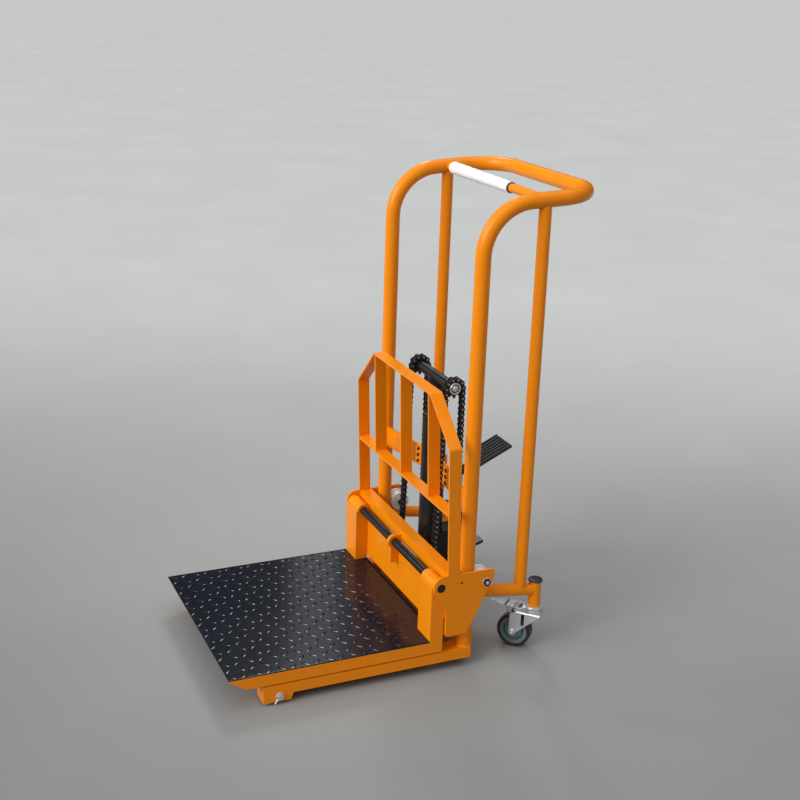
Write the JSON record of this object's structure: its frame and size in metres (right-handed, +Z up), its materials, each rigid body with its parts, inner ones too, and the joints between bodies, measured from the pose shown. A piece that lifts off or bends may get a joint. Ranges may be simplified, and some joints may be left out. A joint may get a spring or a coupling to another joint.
{
  "type": "hand pallet stacker",
  "caption": "Foot-pumped hand stacker: bent-tube mast with a push handle, chain-lifted carriage and backrest, hinged tread-plate platform, straddle legs and braked swivel casters.",
  "frame": {"origin": "on the floor under the middle of the machine's bounding box", "axes": "+Z up, -Y towards the platform's front edge, +X to the right-hand side seen from the handle"},
  "size_m": [0.666, 1.053, 1.3388],
  "materials": {
    "orange_paint": "glossy powder coat",
    "black_paint": "gloss",
    "black_tread": "gloss over a raised tread pattern",
    "black_plastic": "satin",
    "zinc_plate": "bright zinc",
    "bright_steel": "ground",
    "chain_steel": "oiled black",
    "white_nylon": "satin",
    "white_film": "wrapped foam",
    "caster_core": "moulded",
    "maroon_tread": "moulded",
    "front_wheel_nylon": "satin"
  },
  "bodies": {
    "frame": {"mast_upright_right": "orange_paint", "mast_upright_left": "orange_paint", "handle_loop": "orange_paint", "handle_cross_tube": "orange_paint", "cross_tube_sleeve": "white_film", "rear_uprights": "orange_paint", "outriggers": "orange_paint", "caster_posts": "orange_paint", "post_caps": "black_plastic", "caster_heads": "zinc_plate", "leg_right": "orange_paint", "leg_left": "orange_paint", "front_axles": "zinc_plate", "base_channel": "orange_paint", "mast_cross_plate": "orange_paint", "cylinder_barrel": "black_paint", "cylinder_gland": "black_paint", "pump_body": "black_paint", "pump_gland_nut": "zinc_plate", "chain_rear": "chain_steel"},
    "ram": {"lift_ram": "bright_steel", "crosshead": "black_paint", "sprocket_caps": "zinc_plate", "chain_wrap": "chain_steel"},
    "sprocket_right": {"sprocket_right": "chain_steel"},
    "sprocket_left": {"sprocket_left": "chain_steel"},
    "carriage": {"carriage_side_plate_right": "orange_paint", "carriage_side_plate_left": "orange_paint", "carriage_beam": "orange_paint", "carriage_front_plate": "orange_paint", "fork_shaft": "black_paint", "backrest_hoop": "orange_paint", "backrest_rail": "orange_paint", "backrest_uprights": "orange_paint", "roller_pins": "zinc_plate", "chain_front": "chain_steel"},
    "platform": {"fork_arm_right": "orange_paint", "fork_arm_left": "orange_paint", "tread_plate": "black_tread"},
    "pump_pedal": {"pump_lever": "black_paint", "pump_pedal_pad": "black_plastic"},
    "pump_plunger": {"pump_plunger": "bright_steel"},
    "release_pedal": {"release_pedal": "black_plastic"},
    "guide_roller_upper_right": {"guide_roller_upper_right": "white_nylon"},
    "guide_roller_upper_left": {"guide_roller_upper_left": "white_nylon"},
    "guide_roller_lower_right": {"guide_roller_lower_right": "white_nylon"},
    "guide_roller_lower_left": {"guide_roller_lower_left": "white_nylon"},
    "caster_fork_right": {"caster_fork_right": "zinc_plate"},
    "caster_wheel_right": {"caster_wheel_right": "caster_core", "caster_tyre_right": "maroon_tread"},
    "caster_brake_right": {"caster_brake_right": "zinc_plate"},
    "front_wheel_right": {"front_wheel_right": "front_wheel_nylon"},
    "caster_fork_left": {"caster_fork_left": "zinc_plate"},
    "caster_wheel_left": {"caster_wheel_left": "caster_core", "caster_tyre_left": "maroon_tread"},
    "caster_brake_left": {"caster_brake_left": "zinc_plate"},
    "front_wheel_left": {"front_wheel_left": "front_wheel_nylon"}
  },
  "joints": [
    {"name": "ram_lift", "type": "slide", "parent": "frame", "child": "ram", "axis": [0, 0, 1], "range_m": [0, 0.36512], "deforming": ["chain_rear", "chain_wrap"]},
    {"name": "carriage_lift", "type": "slide", "parent": "ram", "child": "carriage", "axis": [0, 0, 1], "range_m": [0, 0.36512], "deforming": ["chain_front"]},
    {"name": "platform_fold", "type": "hinge", "parent": "carriage", "child": "platform", "pos_m": [0, 0.0735, 0.262], "axis": [-1, 0, 0], "range_deg": [0, 90]},
    {"name": "pump_pedal_press", "type": "hinge", "parent": "frame", "child": "pump_pedal", "pos_m": [0, 0.2455, 0.44], "axis": [-1, 0, 0], "range_deg": [0, 25], "stiffness_Nm_per_rad": 6, "springref_deg": -22.92},
    {"name": "pump_plunger_stroke", "type": "slide", "parent": "frame", "child": "pump_plunger", "axis": [0, 0, -1], "range_m": [0, 0.0135]},
    {"name": "release_pedal_press", "type": "hinge", "parent": "frame", "child": "release_pedal", "pos_m": [0, 0.3185, 0.206], "axis": [-1, 0, 0], "range_deg": [0, 15], "stiffness_Nm_per_rad": 1, "springref_deg": -17.19},
    {"name": "sprocket_spin_right", "type": "hinge", "parent": "ram", "child": "sprocket_right", "pos_m": [0.1145, 0.1889, 0.76], "axis": [-1, 0, 0], "continuous": true},
    {"name": "guide_roller_upper_right_spin", "type": "hinge", "parent": "carriage", "child": "guide_roller_upper_right", "pos_m": [0.29, 0.21156, 0.259], "axis": [1, 0, 0], "continuous": true},
    {"name": "guide_roller_lower_right_spin", "type": "hinge", "parent": "carriage", "child": "guide_roller_lower_right", "pos_m": [0.29, 0.1232, 0.132], "axis": [-1, 0, 0], "continuous": true},
    {"name": "caster_swivel_right", "type": "hinge", "parent": "frame", "child": "caster_fork_right", "pos_m": [0.29, 0.3885, 0.127], "axis": [0, 0, 1], "continuous": true},
    {"name": "caster_roll_right", "type": "hinge", "parent": "caster_fork_right", "child": "caster_wheel_right", "pos_m": [0.25136, 0.3537, 0.05], "axis": [-0.6691, 0.7431, 0], "continuous": true},
    {"name": "caster_brake_press_right", "type": "hinge", "parent": "caster_fork_right", "child": "caster_brake_right", "pos_m": [0.25582, 0.35772, 0.1245], "axis": [0.6691, -0.7431, 0], "range_deg": [0, 15]},
    {"name": "front_wheel_roll_right", "type": "hinge", "parent": "frame", "child": "front_wheel_right", "pos_m": [0.2895, -0.3865, 0.025], "axis": [1, 0, 0], "continuous": true},
    {"name": "sprocket_spin_left", "type": "hinge", "parent": "ram", "child": "sprocket_left", "pos_m": [-0.1145, 0.1889, 0.76], "axis": [-1, 0, 0], "continuous": true},
    {"name": "guide_roller_upper_left_spin", "type": "hinge", "parent": "carriage", "child": "guide_roller_upper_left", "pos_m": [-0.29, 0.21156, 0.259], "axis": [1, 0, 0], "continuous": true},
    {"name": "guide_roller_lower_left_spin", "type": "hinge", "parent": "carriage", "child": "guide_roller_lower_left", "pos_m": [-0.29, 0.1232, 0.132], "axis": [-1, 0, 0], "continuous": true},
    {"name": "caster_swivel_left", "type": "hinge", "parent": "frame", "child": "caster_fork_left", "pos_m": [-0.29, 0.3885, 0.127], "axis": [0, 0, 1], "continuous": true},
    {"name": "caster_roll_left", "type": "hinge", "parent": "caster_fork_left", "child": "caster_wheel_left", "pos_m": [-0.25136, 0.3537, 0.05], "axis": [-0.6691, -0.7431, 0], "continuous": true},
    {"name": "caster_brake_press_left", "type": "hinge", "parent": "caster_fork_left", "child": "caster_brake_left", "pos_m": [-0.25582, 0.35772, 0.1245], "axis": [0.6691, 0.7431, 0], "range_deg": [0, 15]},
    {"name": "front_wheel_roll_left", "type": "hinge", "parent": "frame", "child": "front_wheel_left", "pos_m": [-0.2895, -0.3865, 0.025], "axis": [1, 0, 0], "continuous": true}
  ],
  "couplings": [
    {"joint": "carriage_lift", "follows": "ram_lift", "ratio": 1},
    {"joint": "pump_plunger_stroke", "follows": "pump_pedal_press", "m_per_rad": 0.0305},
    {"joint": "sprocket_spin_right", "follows": "ram_lift", "rad_per_m": 39.579},
    {"joint": "guide_roller_upper_right_spin", "follows": "ram_lift", "rad_per_m": 80.775},
    {"joint": "guide_roller_lower_right_spin", "follows": "ram_lift", "rad_per_m": 95.238},
    {"joint": "sprocket_spin_left", "follows": "ram_lift", "rad_per_m": 39.579},
    {"joint": "guide_roller_upper_left_spin", "follows": "ram_lift", "rad_per_m": 80.775},
    {"joint": "guide_roller_lower_left_spin", "follows": "ram_lift", "rad_per_m": 95.238}
  ]
}
